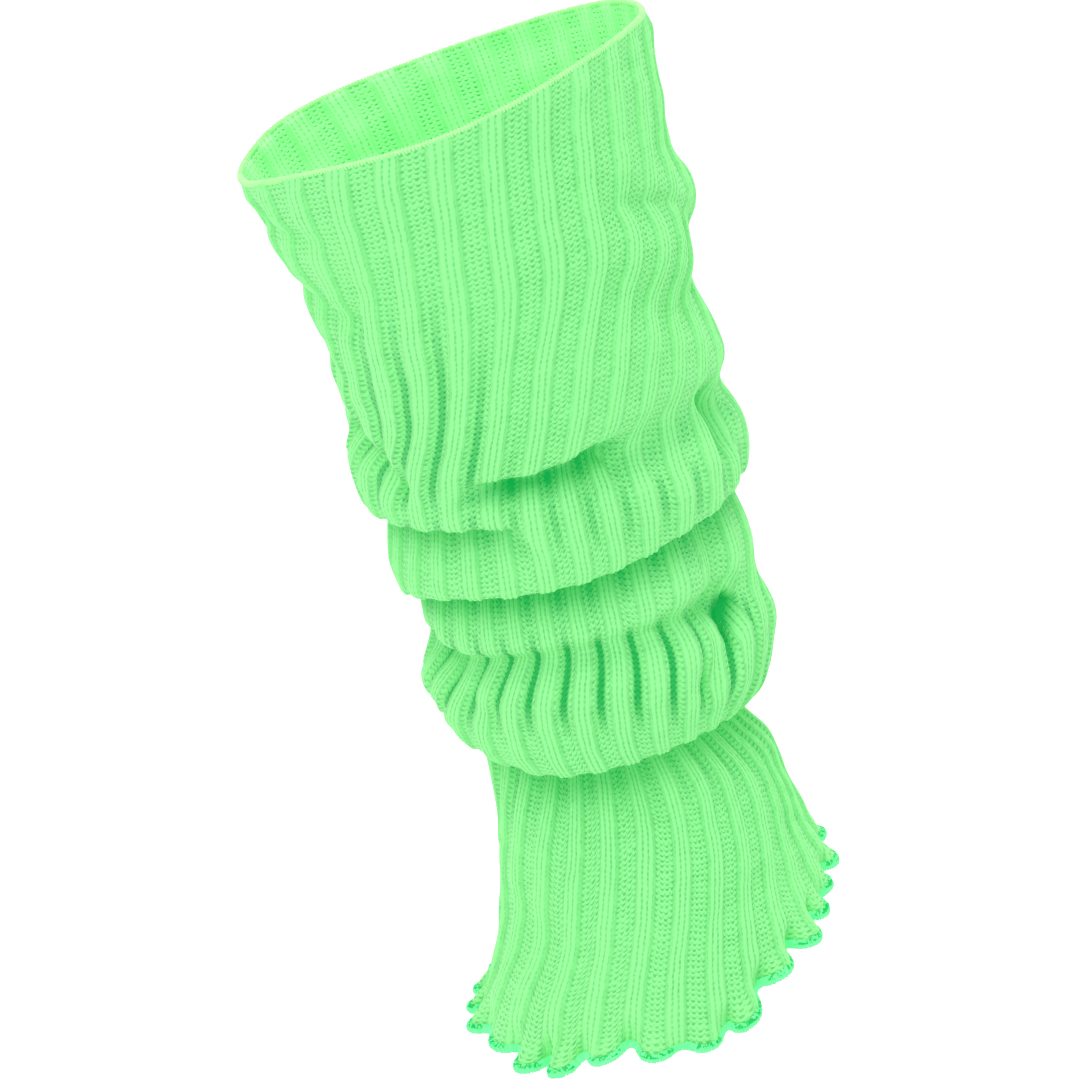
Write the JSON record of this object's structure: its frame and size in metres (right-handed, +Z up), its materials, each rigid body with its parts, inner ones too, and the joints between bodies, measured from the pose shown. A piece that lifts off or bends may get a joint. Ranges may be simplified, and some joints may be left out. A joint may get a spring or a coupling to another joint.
{
  "type": "leg warmer",
  "caption": "Slouched rib-knit leg warmer, a hollow cloth tube open at both ends, with a smooth rim at the calf and a waved, overlocked hem over the foot.",
  "frame": {"origin": "the point on the leg's axis about 60 mm below the rim, inside the tube, where the calf holds the cloth up", "axes": "+Z up with the leg leaning as worn, +X towards the shin and the toes, -Y towards the side that is seen from the outside of the leg"},
  "size_m": [0.1899, 0.1293, 0.3291],
  "materials": {
    "rib_knit": "soft matt acrylic rib knit, bright neon green",
    "overlock_edge": "dense overlock stitching in a deeper emerald green thread"
  },
  "bodies": {
    "root": {"rib_tube": "rib_knit", "lettuce_hem": "overlock_edge"}
  },
  "joints": []
}
